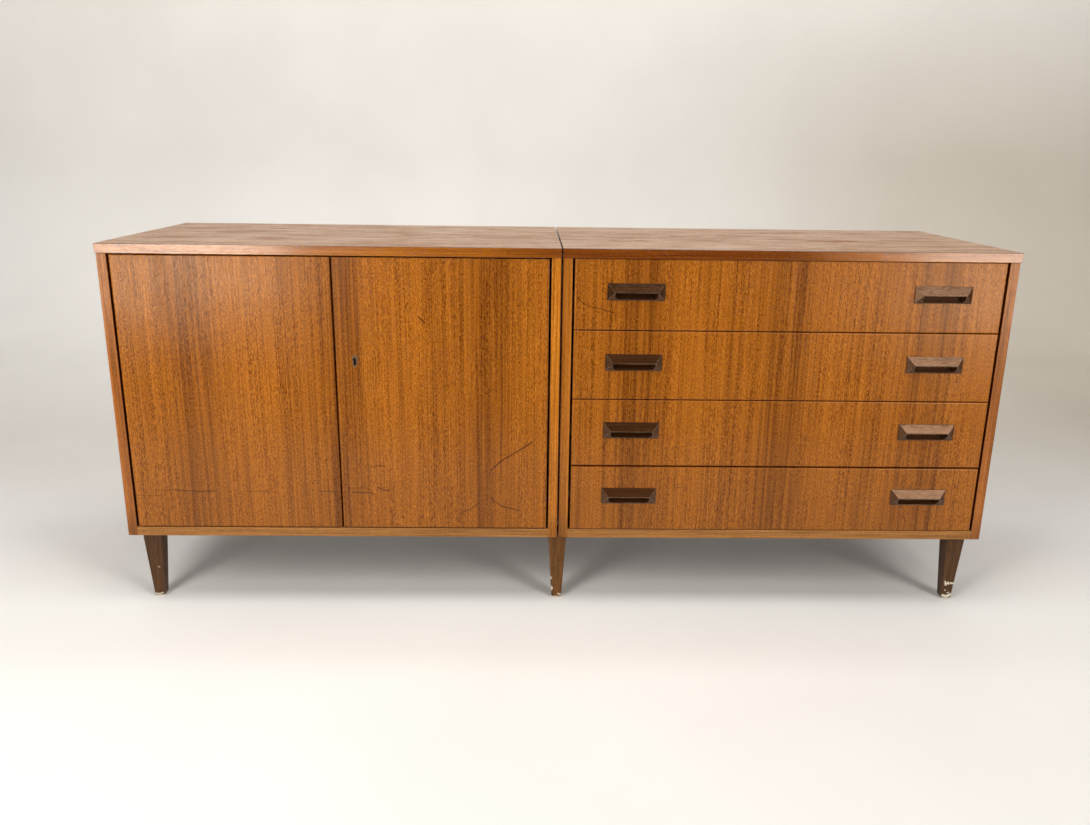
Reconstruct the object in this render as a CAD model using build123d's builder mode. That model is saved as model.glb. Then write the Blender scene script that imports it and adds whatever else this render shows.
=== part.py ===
from build123d import *
from math import hypot
import os

os.makedirs("parts", exist_ok=True)

# A long low sideboard of two equal cabinets on tapered legs: a cupboard with two doors on the left
# and a chest of four drawers on the right. X runs along the front, Y from the front to the back and
# Z up, in millimetres. The origin is on the floor under the middle of the whole.

# Cabinets
cabinet_width = 898.5
cabinet_depth = 505.0
inner_height = 568.0
board = 19.0
seam_gap = 3.0
edge_ease = 0.8

# Tops, whose outer ends slope in a little towards the underside
top_thickness = 19.0
top_end_overhang = 2.5
top_front_overhang = 2.0
top_end_bevel = 1.6

# Loose tongues that join the boards of a cabinet
tongue_thickness = 5.0
tongue_width = 18.0
tongue_setback = 60.0
glue_line = 0.1

# Back panels, held in grooves on all four sides
back_thickness = 5.0
back_inset = 8.0
back_groove_depth = 7.0
panel_ease = 0.2

# Bolts through the two inner sides
connector_radius = 4.0
connector_head_radius = 8.0
connector_head_thickness = 1.6
connector_ease = 0.2
connector_inset = 90.0
connector_drop = 32.0

# Legs, the plates let in above them whose studs they turn on to, and their glides
leg_length = 150.0
leg_top_width = 39.0
leg_foot_width = 21.5
leg_inset = 20.0
leg_ease = 1.2
leg_plate_thickness = 5.0
leg_plate_length = 70.0
leg_plate_width = 36.0
leg_plate_ease = 0.2
stud_radius = 4.0
stud_depth = 25.0
stud_ease = 0.1
glide_height = 4.0
glide_radius = 9.5

# Shelf of the cupboard and the cleats under its ends
shelf_thickness = 17.0
shelf_height = 283.0
shelf_setback = 45.0
shelf_ease = 0.5
cleat_width = 16.0
cleat_height = 22.0
cleat_setback = 30.0

# Doors, set in flush with the front
door_hinge_gap = 4.25
door_meeting_gap = 3.0
door_top_gap = 2.5
door_bottom_gap = 1.7
front_round = 2.5
door_stop_length = 60.0
door_stop_size = 14.0
door_stop_place = 140.0
door_stop_gap = 0.3

# Pivot hinges in the top and bottom edges of the doors
pivot_inset = 11.0
pivot_radius = 3.0
pivot_depth = 9.0
pivot_ease = 0.1
pivot_plate_length = 44.0
pivot_plate_width = 14.0
pivot_plate_thickness = 2.0
collar_radius = 5.5
collar_ease = 0.2

# Lock in the right door
lock_backset = 38.0
keyhole_height = 362.3
lock_case_width = 48.0
lock_case_height = 56.0
lock_case_thickness = 11.0
lock_case_drop = 25.0
lock_ease = 0.1
selvedge_height = 76.0
selvedge_thickness = 2.0
bolt_length = 30.0
bolt_height = 10.0
bolt_thickness = 5.0
bolt_rise = 13.0
bolt_retract = 0.3
bolt_throw = 9.0
bolt_ease = 0.2
strike_height = 40.0
strike_ease = 0.6
key_radius = 3.5
key_slot_width = 4.0
key_slot_drop = 11.4
key_depth = 8.0

# Metal lining let into the door round the keyhole
escutcheon_upper_radius = 5.65
escutcheon_lower_radius = 4.2
escutcheon_rise = 2.7
escutcheon_drop = 10.8
escutcheon_depth = 4.0
escutcheon_proud = 0.4

# Flat shoot bolts on the inside of the left door
shoot_width = 8.0
shoot_thickness = 5.0
shoot_throw = 12.0
shoot_inset = 24.0
shoot_retract = 1.0
shoot_ease = 0.15
shoot_hole_ease = 0.4
shoot_hole_margin = 1.5
guide_plate_width = 18.0
guide_plate_length = 58.0
guide_plate_thickness = 1.5
guide_drop = 6.0
saddle_length = 9.0
saddle_wall = 1.8
saddle_gap = 0.8
knob_length = 7.0
knob_height = 6.0

# Drawers, whose fronts are set in flush
drawer_count = 4
drawer_gap = 1.6
drawer_end_gap = 4.45
lowest_drawer_ease = 1.5
drawer_reach = 470.0
drawer_side = 12.0
drawer_side_height = 108.0
drawer_side_lift = 10.0
drawer_back_drop = 8.0
drawer_bottom_thickness = 5.0
drawer_bottom_lift = 10.0
drawer_bottom_groove = 5.0

# Dovetails at the four corners of a drawer
front_lap = 6.0
tail_root = 20.0
tail_spacing = 50.0
tail_slope = 1 / 6

# Hardwood runners that the drawers hang on
runner_height = 16.0
runner_setback = 30.0
runner_seat = 3.0
runner_rise = 57.0
runner_groove_depth = 6.0
runner_side_ease = 0.4
runner_ease = 0.2
runner_end_ease = 0.5

# Pulls: hip-roofed blocks let into the drawer fronts, hollowed from their lower slopes for the fingers
pull_length = 114.0
pull_height = 34.0
pull_wall = 2.0
pull_projection = 12.0
pull_inset = 121.5
pull_rise = 6.5
ridge_length = 87.0
ridge_width = 1.6
tenon_length = 104.0
tenon_height = 32.0
tenon_depth = 10.0
hollow_length = 85.0
hollow_lip = 0.3
hollow_rim = 1.9
hollow_corner = 7.0
hollow_depth = 12.0

# Levels
carcass_bottom = glide_height + leg_length
floor_level = carcass_bottom + board
ceiling = floor_level + inner_height

# Depths: the pulls' ridges and the cabinets' backs are equally far from the origin
front_y = (pull_projection - cabinet_depth) / 2
back_y = front_y + cabinet_depth
rear_face = front_y + board
back_groove = (back_y - back_inset - back_thickness - 2 * panel_ease, back_y - back_inset)
tongue_run = (front_y + tongue_setback, back_y - tongue_setback)

# Widths: each cabinet's outer faces and the inner faces of its sides
left_cabinet = (-seam_gap / 2 - cabinet_width, -seam_gap / 2)
right_cabinet = (seam_gap / 2, seam_gap / 2 + cabinet_width)
left_inside = (left_cabinet[0] + board, left_cabinet[1] - board)
right_inside = (right_cabinet[0] + board, right_cabinet[1] - board)

# Legs: outer pair under each end and a middle pair under the seam
leg_centre = leg_inset + leg_top_width / 2
leg_rows = {"front": front_y + leg_centre, "rear": back_y - leg_centre}
leg_columns = {"left": left_cabinet[0] + leg_centre, "middle": 0.0, "right": right_cabinet[1] - leg_centre}

# Doors: outlines, pivots and the edges where they meet
door_width = (cabinet_width - 2 * board - 2 * door_hinge_gap - door_meeting_gap) / 2
door_level = (floor_level + door_bottom_gap, ceiling - door_top_gap)
left_door_span = (left_inside[0] + door_hinge_gap, left_inside[0] + door_hinge_gap + door_width)
right_door_span = (left_inside[1] - door_hinge_gap - door_width, left_inside[1] - door_hinge_gap)
pivot_y = front_y + board / 2
door_pivots = {"left": (left_door_span[0] + pivot_inset, 1), "right": (right_door_span[1] - pivot_inset, -1)}

# Lock: its place on the right door
lock_edge = right_door_span[0]
strike_edge = left_door_span[1]
keyhole = (lock_edge + lock_backset, floor_level + keyhole_height)
lock_level = (keyhole[1] - lock_case_drop, keyhole[1] - lock_case_drop + lock_case_height)
lock_front = rear_face - lock_case_thickness
bolt_y = rear_face - lock_case_thickness / 2
bolt_z = keyhole[1] + bolt_rise

# Shoot bolts: the line that they slide on
shoot_x = strike_edge - shoot_inset
shoot_y = rear_face + guide_plate_thickness + saddle_gap + shoot_thickness / 2
shoot_length = guide_plate_length + guide_drop - shoot_retract + shoot_throw

# Drawers: outline of the box and its runner grooves
drawer_pitch = inner_height / drawer_count
drawer_span = (right_inside[0] + drawer_end_gap, right_inside[1] - drawer_end_gap)
drawer_inside = (drawer_span[0] + drawer_side, drawer_span[1] - drawer_side)
drawer_rear = front_y + drawer_reach
pull_columns = (drawer_span[0] + pull_inset, drawer_span[1] - pull_inset)
front_root = rear_face + glue_line
rear_root = drawer_rear - drawer_side - glue_line
bottom_groove_height = drawer_bottom_thickness + 2 * panel_ease


def save(name, piece):
    piece.part.label = name
    export_step(piece.part, f"parts/{name}.step")


def middle(span):
    return (span[0] + span[1]) / 2


def around(centre, size):
    return (centre - size / 2, centre + size / 2)


def grown(span, ease):
    return (span[0] - ease, span[1] + ease)


# A square-edged block, or a housing cut to that shape, between two limits along each axis
def block(x, y, z, mode=Mode.ADD):
    with BuildSketch(Plane.XY.offset(z[0])) as outline:
        with Locations((middle(x), middle(y))):
            Rectangle(x[1] - x[0], y[1] - y[0])
    extrude(outline.sketch, amount=z[1] - z[0], mode=mode)


# A round pin, or a hole of that size, from a point along a direction
def rod(start, direction, radius, length, mode=Mode.ADD):
    with BuildSketch(Plane(origin=start, z_dir=direction)) as section:
        Circle(radius)
    extrude(section.sketch, amount=length, mode=mode)


# Tongues stand half in each of the two boards that they join
def top_tongue(side):
    return around(middle(side), tongue_thickness), tongue_run, around(ceiling, tongue_width)


def bottom_tongue(face):
    return around(face, tongue_width), tongue_run, around(carcass_bottom + board / 2, tongue_thickness)


def cut_tongue(tongue):
    x, y, z = tongue
    block(grown(x, glue_line), grown(y, glue_line), grown(z, glue_line), Mode.SUBTRACT)


def cut_back_groove(inside):
    x = grown(inside, back_groove_depth)
    z = grown((floor_level, ceiling), back_groove_depth)
    block(x, back_groove, z, Mode.SUBTRACT)


def side_boards(cabinet, inside):
    return (cabinet[0], inside[0]), (inside[1], cabinet[1])


# Places of the hinge plates: from just beside the pin towards the middle of the door
def pivot_plate_span(pivot, away):
    near = pivot - away * pivot_plate_width / 2
    far = near + away * pivot_plate_length
    return (min(near, far), max(near, far))


def cut_pivot_recess(level):
    for pivot, away in door_pivots.values():
        x = pivot_plate_span(pivot, away)
        block(x, around(pivot_y, pivot_plate_width), level, Mode.SUBTRACT)


def connector_places():
    for y in (front_y + connector_inset, back_y - connector_inset):
        yield y, ceiling - connector_drop


shelf_level = (floor_level + shelf_height, floor_level + shelf_height + shelf_thickness)
shelf_run = (front_y + shelf_setback, back_groove[0] - shelf_ease)


# A shoot bolt's section, or a hole that it slides in, at its place on the left door
def shoot_section(ease):
    x = grown(around(shoot_x, shoot_width), ease)
    y = grown(around(shoot_y, shoot_thickness), ease)
    return x, y


# Outer legs have their plates turned along the depth, and the middle ones span the seam
def leg_places():
    for column, x in leg_columns.items():
        for row, y in leg_rows.items():
            turned = column != "middle"
            yield f"{column}_{row}_leg", x, y, turned


def leg_plate_outline(x, y, turned, ease):
    sizes = (leg_plate_width, leg_plate_length) if turned else (leg_plate_length, leg_plate_width)
    return grown(around(x, sizes[0]), ease), grown(around(y, sizes[1]), ease)


leg_plate_level = (carcass_bottom, carcass_bottom + leg_plate_thickness)


def cut_leg_plates(columns):
    for name, x, y, turned in leg_places():
        if name.split("_")[0] in columns:
            block(*leg_plate_outline(x, y, turned, leg_plate_ease), leg_plate_level, Mode.SUBTRACT)


# Levels of each drawer from the top one down: its front and the underside of its box
def drawer_levels(number):
    bottom = ceiling - number * drawer_pitch + drawer_gap / 2
    top = bottom + drawer_pitch - drawer_gap
    if number == drawer_count:
        top -= lowest_drawer_ease
    return bottom, top


def box_level(number):
    return drawer_levels(number)[0] + drawer_side_lift


def runner_level(number):
    return around(box_level(number) + runner_rise, runner_height)


def runner_span(face, way):
    seat = face - way * runner_seat
    nose = face + way * (drawer_end_gap + runner_groove_depth - runner_side_ease)
    return (min(seat, nose), max(seat, nose))


runner_run = (front_y + runner_setback, drawer_rear)


# Cabinet tops, with their outer ends sloping in towards the underside
def make_top(name, cabinet, inside, way):
    seam = way * seam_gap / 2
    end = seam + way * (cabinet_width + top_end_overhang)
    with BuildPart() as top:
        with BuildSketch(Plane.XZ.offset(top_front_overhang - front_y)):
            Polygon(
                (seam, ceiling),
                (end - way * top_end_bevel, ceiling),
                (end, ceiling + top_thickness),
                (seam, ceiling + top_thickness),
                align=None,
            )
        extrude(amount=-cabinet_depth - top_front_overhang)
        chamfer(top.faces().sort_by(Axis.Y)[0].edges(), edge_ease)
        cut_back_groove(inside)
        for side in side_boards(cabinet, inside):
            cut_tongue(top_tongue(side))
        if cabinet is left_cabinet:
            cut_pivot_recess((ceiling, ceiling + pivot_plate_thickness))
            hole = shoot_throw - shoot_retract - door_top_gap + shoot_hole_margin
            block(*shoot_section(shoot_hole_ease), (ceiling, ceiling + hole), Mode.SUBTRACT)
    save(name, top)


# Sides, from the underside of the cabinet to the underside of its top
def make_side(name, side, inside):
    face = inside[0] if side[1] == inside[0] else inside[1]
    into = 1 if face == side[0] else -1
    with BuildPart() as panel:
        block(side, (front_y, back_y), (carcass_bottom, ceiling))
        chamfer(panel.faces().sort_by(Axis.Y)[0].edges(), edge_ease)
        cut_back_groove(inside)
        cut_tongue(top_tongue(side))
        cut_tongue(bottom_tongue(face))
        if inside is right_inside:
            for number in range(1, drawer_count + 1):
                seat = (min(face, face + into * runner_seat), max(face, face + into * runner_seat))
                block(seat, runner_run, runner_level(number), Mode.SUBTRACT)
        if "inner" in name:
            for y, z in connector_places():
                rod((face, y, z), (into, 0, 0), connector_radius + connector_ease, board, Mode.SUBTRACT)
            cut_leg_plates(("middle",))
    save(name, panel)


def make_bottom(name, cabinet, inside, end):
    with BuildPart() as bottom:
        block(inside, (front_y, back_y), (carcass_bottom, floor_level))
        chamfer(bottom.faces().sort_by(Axis.Y)[0].edges().filter_by(Axis.X), edge_ease)
        cut_back_groove(inside)
        for face in inside:
            cut_tongue(bottom_tongue(face))
        cut_leg_plates((end, "middle"))
        if cabinet is left_cabinet:
            cut_pivot_recess((floor_level - pivot_plate_thickness, floor_level))
            hole = shoot_throw - shoot_retract - door_bottom_gap + shoot_hole_margin
            block(*shoot_section(shoot_hole_ease), (floor_level - hole, floor_level), Mode.SUBTRACT)
    save(name, bottom)


def make_back(name, inside):
    with BuildPart() as back:
        x = grown(inside, back_groove_depth - panel_ease)
        y = grown(back_groove, -panel_ease)
        z = grown((floor_level, ceiling), back_groove_depth - panel_ease)
        block(x, y, z)
    save(name, back)


for cabinet_name, cabinet, inside, way in (
    ("left", left_cabinet, left_inside, -1),
    ("right", right_cabinet, right_inside, 1),
):
    make_top(f"{cabinet_name}_top", cabinet, inside, way)
    boards = side_boards(cabinet, inside)
    outer, inner = boards if way < 0 else boards[::-1]
    make_side(f"{cabinet_name}_outer_side", outer, inside)
    make_side(f"{cabinet_name}_inner_side", inner, inside)
    make_bottom(f"{cabinet_name}_bottom", cabinet, inside, cabinet_name)
    make_back(f"{cabinet_name}_back", inside)

with BuildPart() as carcass_tongues:
    for cabinet, inside in ((left_cabinet, left_inside), (right_cabinet, right_inside)):
        for side in side_boards(cabinet, inside):
            block(*top_tongue(side))
        for face in inside:
            block(*bottom_tongue(face))
save("carcass_tongues", carcass_tongues)

# Bolts that tie the two inner sides
with BuildPart() as cabinet_connectors:
    for y, z in connector_places():
        start = (left_inside[1], y, z)
        rod(start, (1, 0, 0), connector_radius, right_inside[0] - left_inside[1])
        rod(start, (-1, 0, 0), connector_head_radius, connector_head_thickness)
        rod((right_inside[0], y, z), (1, 0, 0), connector_head_radius, connector_head_thickness)
save("cabinet_connectors", cabinet_connectors)


# Square legs that taper evenly on all four faces, with a hole for the stud
def make_leg(name, x, y):
    taper = (leg_top_width - leg_foot_width) / 2
    far = leg_top_width - taper
    with BuildPart() as leg:
        with Locations(Location((x, y, carcass_bottom), (-90, 0, 0))):
            align = (Align.CENTER, Align.MIN, Align.CENTER)
            Wedge(leg_top_width, leg_length, leg_top_width, taper, taper, far, far, align=align)
        chamfer(leg.edges().group_by(SortBy.LENGTH)[-1], leg_ease)
        with Locations((x, y, carcass_bottom)):
            Hole(stud_radius + stud_ease, stud_depth + stud_ease)
    save(name, leg)


for leg_name, x, y, _ in leg_places():
    make_leg(leg_name, x, y)

with BuildPart() as leg_plates:
    for _, x, y, turned in leg_places():
        block(*leg_plate_outline(x, y, turned, 0), leg_plate_level)
        rod((x, y, carcass_bottom), (0, 0, -1), stud_radius, stud_depth)
save("leg_plates", leg_plates)

with BuildPart() as foot_glides:
    for _, x, y, _ in leg_places():
        rod((x, y, 0), (0, 0, 1), glide_radius, glide_height)
save("foot_glides", foot_glides)

# Shelf on a cleat at each end
with BuildPart() as shelf:
    block(grown(left_inside, -shelf_ease), shelf_run, shelf_level)
    chamfer(shelf.faces().sort_by(Axis.Y)[0].edges().filter_by(Axis.X), edge_ease)
save("shelf", shelf)

with BuildPart() as shelf_cleats:
    cleat_level = (shelf_level[0] - cleat_height, shelf_level[0])
    for x in ((left_inside[0], left_inside[0] + cleat_width), (left_inside[1] - cleat_width, left_inside[1])):
        block(x, grown(shelf_run, -cleat_setback), cleat_level)
save("shelf_cleats", shelf_cleats)

# Blocks under the top that the doors close against
with BuildPart() as door_stops:
    stop_run = (rear_face + door_stop_gap, rear_face + door_stop_gap + door_stop_size)
    for x in (left_door_span[0] + door_stop_place, right_door_span[1] - door_stop_place):
        block(around(x, door_stop_length), stop_run, (ceiling - door_stop_size, ceiling))
save("door_stops", door_stops)

# Plates in the carcass with the pins that the doors turn on, the lower ones with a collar
with BuildPart() as hinge_pivots:
    for pivot, away in door_pivots.values():
        x = pivot_plate_span(pivot, away)
        y = around(pivot_y, pivot_plate_width)
        block(x, y, (floor_level - pivot_plate_thickness, floor_level))
        block(x, y, (ceiling, ceiling + pivot_plate_thickness))
        low = (pivot, pivot_y, floor_level)
        rod(low, (0, 0, 1), pivot_radius, door_bottom_gap + pivot_depth)
        rod(low, (0, 0, 1), collar_radius, door_bottom_gap - collar_ease)
        rod((pivot, pivot_y, ceiling), (0, 0, -1), pivot_radius, door_top_gap + pivot_depth)
save("hinge_pivots", hinge_pivots)


# Plates in a door's edges, with the holes that turn on the pins
def make_sockets(name, pivot, away):
    with BuildPart() as sockets:
        x = pivot_plate_span(pivot, away)
        y = around(pivot_y, pivot_plate_width)
        block(x, y, (door_level[0], door_level[0] + pivot_plate_thickness))
        block(x, y, (door_level[1] - pivot_plate_thickness, door_level[1]))
        start = (pivot, pivot_y, door_level[0])
        height = door_level[1] - door_level[0]
        rod(start, (0, 0, 1), pivot_radius + pivot_ease, height, Mode.SUBTRACT)
    save(name, sockets)


for door_name, (pivot, away) in door_pivots.items():
    make_sockets(f"{door_name}_door_sockets", pivot, away)


# A flush door with rounded front edges, and its housings for the hinge plates and pins
def start_door(span, pivot, away):
    with BuildPart() as door:
        block(span, (front_y, rear_face), door_level)
        fillet(door.faces().sort_by(Axis.Y)[0].edges(), front_round)
        x = pivot_plate_span(pivot, away)
        y = around(pivot_y, pivot_plate_width)
        block(x, y, (door_level[0], door_level[0] + pivot_plate_thickness), Mode.SUBTRACT)
        block(x, y, (door_level[1] - pivot_plate_thickness, door_level[1]), Mode.SUBTRACT)
        for z, up in ((door_level[0], 1), (door_level[1], -1)):
            hole_radius = pivot_radius + 2 * pivot_ease
            hole_depth = pivot_depth + 2 * pivot_ease
            rod((pivot, pivot_y, z), (0, 0, up), hole_radius, hole_depth, Mode.SUBTRACT)
    return door.part


# The left door takes the lock's bolt behind a strike plate
bolt_section = (around(bolt_y, bolt_thickness), around(bolt_z, bolt_height))
strike_level = around(bolt_z, strike_height)
strike_span = (strike_edge - selvedge_thickness, strike_edge)
strike_hole = (grown(bolt_section[0], strike_ease), grown(bolt_section[1], strike_ease))

with BuildPart() as left_door:
    add(start_door(left_door_span, *door_pivots["left"]))
    block(strike_span, (lock_front, rear_face), strike_level, Mode.SUBTRACT)
    block((strike_edge - bolt_throw, strike_edge), *strike_hole, Mode.SUBTRACT)
save("left_door", left_door)

with BuildPart() as lock_strike:
    block(strike_span, (lock_front, rear_face), strike_level)
    block(strike_span, *strike_hole, Mode.SUBTRACT)
save("lock_strike", lock_strike)


# The keyhole and the outline of its lining, drawn on the front of the door
def draw_keyhole():
    with Locations(keyhole):
        Circle(key_radius)
        Rectangle(key_slot_width, key_slot_drop, align=(Align.CENTER, Align.MAX))


def draw_lining(ease):
    with BuildSketch() as circles:
        with Locations((keyhole[0], keyhole[1] + escutcheon_rise)):
            Circle(escutcheon_upper_radius + ease)
        with Locations((keyhole[0], keyhole[1] - escutcheon_drop)):
            Circle(escutcheon_lower_radius + ease)
    make_hull(circles.sketch.edges())


lock_span = (lock_edge, lock_edge + lock_case_width)
selvedge_span = (lock_edge, lock_edge + selvedge_thickness)
selvedge_level = around(middle(lock_level), selvedge_height)
lock_depth = (lock_front, rear_face)

with BuildPart() as right_door:
    add(start_door(right_door_span, *door_pivots["right"]))
    case_depth = (lock_front - lock_ease, rear_face)
    block(grown(lock_span, lock_ease), case_depth, grown(lock_level, lock_ease), Mode.SUBTRACT)
    block(grown(selvedge_span, lock_ease), case_depth, grown(selvedge_level, lock_ease), Mode.SUBTRACT)
    with BuildSketch(Plane.XZ.offset(-front_y)):
        draw_lining(lock_ease)
    extrude(amount=-escutcheon_depth - lock_ease, mode=Mode.SUBTRACT)
    with BuildSketch(Plane.XZ.offset(-front_y)):
        draw_keyhole()
    extrude(amount=-board, mode=Mode.SUBTRACT)
save("right_door", right_door)

with BuildPart() as keyhole_escutcheon:
    with BuildSketch(Plane.XZ.offset(escutcheon_proud - front_y)):
        draw_lining(0)
    extrude(amount=-escutcheon_depth - escutcheon_proud)
    with BuildSketch(Plane.XZ.offset(escutcheon_proud - front_y)):
        draw_keyhole()
    extrude(amount=-escutcheon_depth - escutcheon_proud, mode=Mode.SUBTRACT)
save("keyhole_escutcheon", keyhole_escutcheon)

# Lock let into the back of the right door, with a channel for its bolt and a hole for the key
bolt_span = (lock_edge + bolt_retract, lock_edge + bolt_retract + bolt_length)

with BuildPart() as lock_case:
    block(lock_span, lock_depth, lock_level)
    block(selvedge_span, lock_depth, selvedge_level)
    channel = (grown(bolt_section[0], bolt_ease), grown(bolt_section[1], bolt_ease))
    block((lock_edge, bolt_span[1] + bolt_ease), *channel, Mode.SUBTRACT)
    with BuildSketch(Plane.XZ.offset(-lock_front)):
        draw_keyhole()
    extrude(amount=-key_depth, mode=Mode.SUBTRACT)
save("lock_case", lock_case)

with BuildPart() as lock_bolt:
    block(bolt_span, *bolt_section)
save("lock_bolt", lock_bolt)


# Shoot bolts at the top and the bottom of the left door: each slides in two saddles on a plate
def bolt_ends():
    return (("upper", door_level[1], 1), ("lower", door_level[0], -1))


with BuildPart() as bolt_guides:
    channel_x, channel_y = shoot_section(shoot_ease)
    for _, end, up in bolt_ends():
        first = end - up * guide_drop
        last = first - up * guide_plate_length
        plate_level = (min(first, last), max(first, last))
        plate_depth = (rear_face, rear_face + guide_plate_thickness)
        block(around(shoot_x, guide_plate_width), plate_depth, plate_level)
        for low in (plate_level[0], plate_level[1] - saddle_length):
            saddle_depth = (rear_face, channel_y[1] + saddle_wall)
            block(grown(channel_x, saddle_wall), saddle_depth, (low, low + saddle_length))
        block(channel_x, channel_y, plate_level, Mode.SUBTRACT)
save("bolt_guides", bolt_guides)

for end_name, end, up in bolt_ends():
    with BuildPart() as shoot_bolt:
        tip = end - up * shoot_retract
        heel = tip - up * shoot_length
        bolt_x, bolt_depth = shoot_section(0)
        block(bolt_x, bolt_depth, (min(tip, heel), max(tip, heel)))
        knob_z = end - up * (guide_drop + guide_plate_length / 2 + shoot_throw / 2)
        block(bolt_x, (bolt_depth[1], bolt_depth[1] + knob_length), around(knob_z, knob_height))
    save(f"{end_name}_shoot_bolt", shoot_bolt)

# Hardwood runners, let into the sides of the chest
with BuildPart() as drawer_runners:
    for number in range(1, drawer_count + 1):
        block(runner_span(right_inside[0], 1), runner_run, runner_level(number))
        block(runner_span(right_inside[1], -1), runner_run, runner_level(number))
save("drawer_runners", drawer_runners)


# A pair of dovetails, wider at their ends, above and below the line of the runner
def draw_tails(base, root, end, ease):
    near = tail_root / 2 + ease
    far = near + abs(end - root) * tail_slope
    for offset in around(0, tail_spacing):
        z = base + runner_rise + offset
        Polygon((root, z - near), (root, z + near), (end, z + far), (end, z - far), align=None)


# Sockets for the tails of both sides, cut into the ends of a drawer's front or back
def cut_sockets(base, root, end):
    for x, thickness in ((drawer_span[0], drawer_side), (drawer_span[1], -drawer_side)):
        with BuildSketch(Plane.YZ.offset(x)) as sockets:
            draw_tails(base, root, end, glue_line)
        extrude(sockets.sketch, amount=thickness, mode=Mode.SUBTRACT)


# Grooves along both outer faces of a drawer box, open at the back
def cut_runner_grooves(base):
    z = grown(around(base + runner_rise, runner_height), runner_ease)
    y = (runner_run[0] - runner_end_ease, drawer_rear)
    block((drawer_span[0], drawer_span[0] + runner_groove_depth), y, z, Mode.SUBTRACT)
    block((drawer_span[1] - runner_groove_depth, drawer_span[1]), y, z, Mode.SUBTRACT)


def make_drawer_front(name, number):
    level = drawer_levels(number)
    base = box_level(number)
    with BuildPart() as front:
        block(drawer_span, (front_y, rear_face), level)
        fillet(front.faces().sort_by(Axis.Y)[0].edges(), front_round)
        cut_sockets(base, front_root, front_y + front_lap)
        groove_low = base + drawer_bottom_lift
        groove_span = grown(drawer_inside, drawer_bottom_groove)
        groove_depth = (rear_face - drawer_bottom_groove, rear_face)
        block(groove_span, groove_depth, (groove_low, groove_low + bottom_groove_height), Mode.SUBTRACT)
        for x in pull_columns:
            mortise_x = grown(around(x, tenon_length), glue_line)
            mortise_z = grown(around(middle(level) + pull_rise, tenon_height), glue_line)
            block(mortise_x, (front_y, front_y + tenon_depth + glue_line), mortise_z, Mode.SUBTRACT)
    save(name, front)


def make_drawer_side(name, number, x):
    base = box_level(number)
    heel_top = base + drawer_bottom_lift + bottom_groove_height - glue_line
    with BuildPart() as side:
        with BuildSketch(Plane.YZ.offset(x)):
            with Locations((front_root, base)):
                Rectangle(rear_root - front_root, drawer_side_height, align=(Align.MIN, Align.MIN))
            with Locations((rear_root, base)):
                Rectangle(drawer_rear - rear_root, heel_top - base, align=(Align.MIN, Align.MIN))
            draw_tails(base, front_root, front_y + front_lap + glue_line, 0)
            draw_tails(base, rear_root, drawer_rear, 0)
        extrude(amount=drawer_side)
        cut_runner_grooves(base)
        groove_low = base + drawer_bottom_lift
        groove_level = (groove_low, groove_low + bottom_groove_height)
        groove_span = grown(drawer_inside, drawer_bottom_groove)
        block(groove_span, (front_root, drawer_rear), groove_level, Mode.SUBTRACT)
    save(name, side)


def make_drawer_back(name, number):
    base = box_level(number)
    low = base + drawer_bottom_lift + bottom_groove_height
    with BuildPart() as back:
        level = (low, base + drawer_side_height - drawer_back_drop)
        block(drawer_span, (drawer_rear - drawer_side, drawer_rear), level)
        cut_sockets(base, rear_root, drawer_rear + glue_line)
        cut_runner_grooves(base)
    save(name, back)


def make_drawer_bottom(name, number):
    low = box_level(number) + drawer_bottom_lift + panel_ease
    with BuildPart() as bottom:
        x = grown(drawer_inside, drawer_bottom_groove - panel_ease)
        y = (rear_face - drawer_bottom_groove + panel_ease, drawer_rear)
        block(x, y, (low, low + drawer_bottom_thickness))
    save(name, bottom)


# A pull is a hip roof on a low wall, with a tenon behind, and a hollow with round lower corners is cut
# square into its lower slope, so that it runs up behind the ridge
def make_pulls(name, number):
    z = middle(drawer_levels(number)) + pull_rise
    end_slope = (pull_length - ridge_length) / 2
    slope_rise = (pull_height - ridge_width) / 2
    slope_out = pull_projection - pull_wall
    slope = hypot(slope_rise, slope_out)
    with BuildPart() as pulls:
        for x in pull_columns:
            block(around(x, tenon_length), (front_y, front_y + tenon_depth), around(z, tenon_height))
            block(around(x, pull_length), (front_y - pull_wall, front_y), around(z, pull_height))
            with Locations(Location((x, front_y - pull_wall, z), (0, 0, 180))):
                Wedge(
                    pull_length, slope_out, pull_height,
                    end_slope, slope_rise, pull_length - end_slope, pull_height - slope_rise,
                    align=(Align.CENTER, Align.MIN, Align.CENTER),
                )
            centre = (x, front_y - pull_wall - slope_out / 2, z - (pull_height + ridge_width) / 4)
            lower_slope = Plane(origin=centre, x_dir=(1, 0, 0), z_dir=(0, -slope_rise, -slope_out))
            with BuildSketch(lower_slope) as mouth:
                with Locations((0, slope / 2 - hollow_lip)):
                    Rectangle(hollow_length, slope - hollow_lip - hollow_rim, align=(Align.CENTER, Align.MAX))
                fillet(mouth.vertices().sort_by(Axis.Y)[:2], hollow_corner)
            extrude(amount=-hollow_depth, mode=Mode.SUBTRACT)
    save(name, pulls)


for number in range(1, drawer_count + 1):
    make_drawer_front(f"drawer_{number}_front", number)
    make_drawer_side(f"drawer_{number}_left_side", number, drawer_span[0])
    make_drawer_side(f"drawer_{number}_right_side", number, drawer_inside[1])
    make_drawer_back(f"drawer_{number}_back", number)
    make_drawer_bottom(f"drawer_{number}_bottom", number)
    make_pulls(f"drawer_{number}_pulls", number)
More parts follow.
